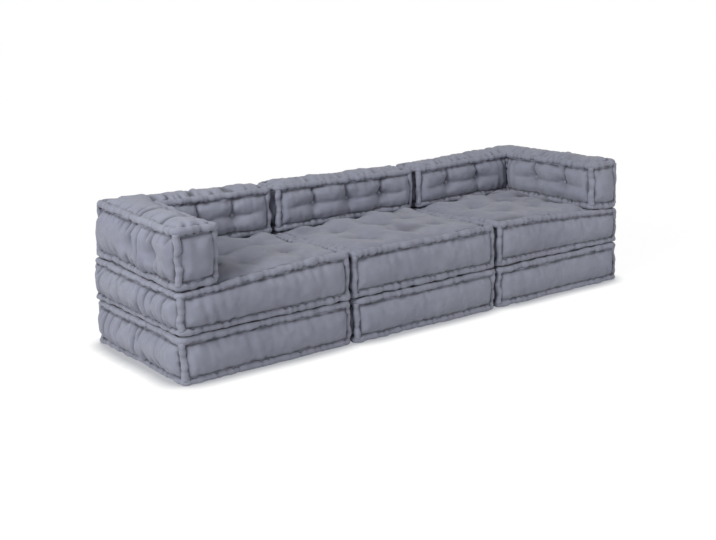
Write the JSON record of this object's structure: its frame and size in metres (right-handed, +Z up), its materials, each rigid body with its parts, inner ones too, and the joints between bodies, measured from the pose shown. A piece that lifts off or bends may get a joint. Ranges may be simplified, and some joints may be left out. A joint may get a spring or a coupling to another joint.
{
  "type": "modular sofa",
  "caption": "Low modular floor sofa of tufted mattress cushions with rolled edges: stacked bases and seats, a straight back and L-shaped corner arm-and-backs, all loose and movable.",
  "frame": {"origin": "on the floor, in the middle of the sofa's width and depth", "axes": "+X to the right seen from the front, +Y to the back, +Z up"},
  "size_m": [2.148, 0.69, 0.54],
  "materials": {
    "cover_fabric": "woven cotton",
    "rolled_edge": "woven cotton, hand-stitched roll",
    "button_fabric": "covered button",
    "twine": "waxed twine",
    "filling": "carded cotton and wool fibre",
    "tape": "hook-and-loop tape"
  },
  "bodies": {
    "left_base": {"left_base_cover": "cover_fabric", "left_base_filling": "filling", "left_base_edge_rolls": "rolled_edge", "left_base_tuft_twine": "twine", "left_base_buttons": "button_fabric", "left_base_loop_tapes": "tape"},
    "left_seat": {"left_seat_cover": "cover_fabric", "left_seat_filling": "filling", "left_seat_edge_rolls": "rolled_edge", "left_seat_tuft_twine": "twine", "left_seat_buttons": "button_fabric", "left_seat_loop_tapes": "tape", "left_seat_hook_tapes": "tape"},
    "left_back": {"left_back_cover": "cover_fabric", "left_back_filling": "filling", "left_back_edge_rolls": "rolled_edge", "left_back_tuft_twine": "twine", "left_back_buttons": "button_fabric", "left_back_hook_tapes": "tape"},
    "middle_base": {"middle_base_cover": "cover_fabric", "middle_base_filling": "filling", "middle_base_edge_rolls": "rolled_edge", "middle_base_tuft_twine": "twine", "middle_base_buttons": "button_fabric", "middle_base_loop_tapes": "tape"},
    "middle_seat": {"middle_seat_cover": "cover_fabric", "middle_seat_filling": "filling", "middle_seat_edge_rolls": "rolled_edge", "middle_seat_tuft_twine": "twine", "middle_seat_buttons": "button_fabric", "middle_seat_loop_tapes": "tape", "middle_seat_hook_tapes": "tape"},
    "middle_back": {"middle_back_cover": "cover_fabric", "middle_back_filling": "filling", "middle_back_edge_rolls": "rolled_edge", "middle_back_tuft_twine": "twine", "middle_back_buttons": "button_fabric", "middle_back_hook_tapes": "tape"},
    "right_base": {"right_base_cover": "cover_fabric", "right_base_filling": "filling", "right_base_edge_rolls": "rolled_edge", "right_base_tuft_twine": "twine", "right_base_buttons": "button_fabric", "right_base_loop_tapes": "tape"},
    "right_seat": {"right_seat_cover": "cover_fabric", "right_seat_filling": "filling", "right_seat_edge_rolls": "rolled_edge", "right_seat_tuft_twine": "twine", "right_seat_buttons": "button_fabric", "right_seat_loop_tapes": "tape", "right_seat_hook_tapes": "tape"},
    "right_back": {"right_back_cover": "cover_fabric", "right_back_filling": "filling", "right_back_edge_rolls": "rolled_edge", "right_back_tuft_twine": "twine", "right_back_buttons": "button_fabric", "right_back_hook_tapes": "tape"}
  },
  "joints": [
    {"name": "left_module_slide", "type": "slide", "parent": "middle_base", "child": "left_base", "axis": [-1, 0, 0], "range_m": [0, 0.4]},
    {"name": "right_module_slide", "type": "slide", "parent": "middle_base", "child": "right_base", "axis": [1, 0, 0], "range_m": [0, 0.4]},
    {"name": "left_seat_lift", "type": "slide", "parent": "left_base", "child": "left_seat", "axis": [0, 0, 1], "range_m": [0, 0.3]},
    {"name": "left_back_lift", "type": "slide", "parent": "left_seat", "child": "left_back", "axis": [0, 0, 1], "range_m": [0, 0.3]},
    {"name": "middle_seat_lift", "type": "slide", "parent": "middle_base", "child": "middle_seat", "axis": [0, 0, 1], "range_m": [0, 0.3]},
    {"name": "middle_back_lift", "type": "slide", "parent": "middle_seat", "child": "middle_back", "axis": [0, 0, 1], "range_m": [0, 0.3]},
    {"name": "right_seat_lift", "type": "slide", "parent": "right_base", "child": "right_seat", "axis": [0, 0, 1], "range_m": [0, 0.3]},
    {"name": "right_back_lift", "type": "slide", "parent": "right_seat", "child": "right_back", "axis": [0, 0, 1], "range_m": [0, 0.3]}
  ]
}
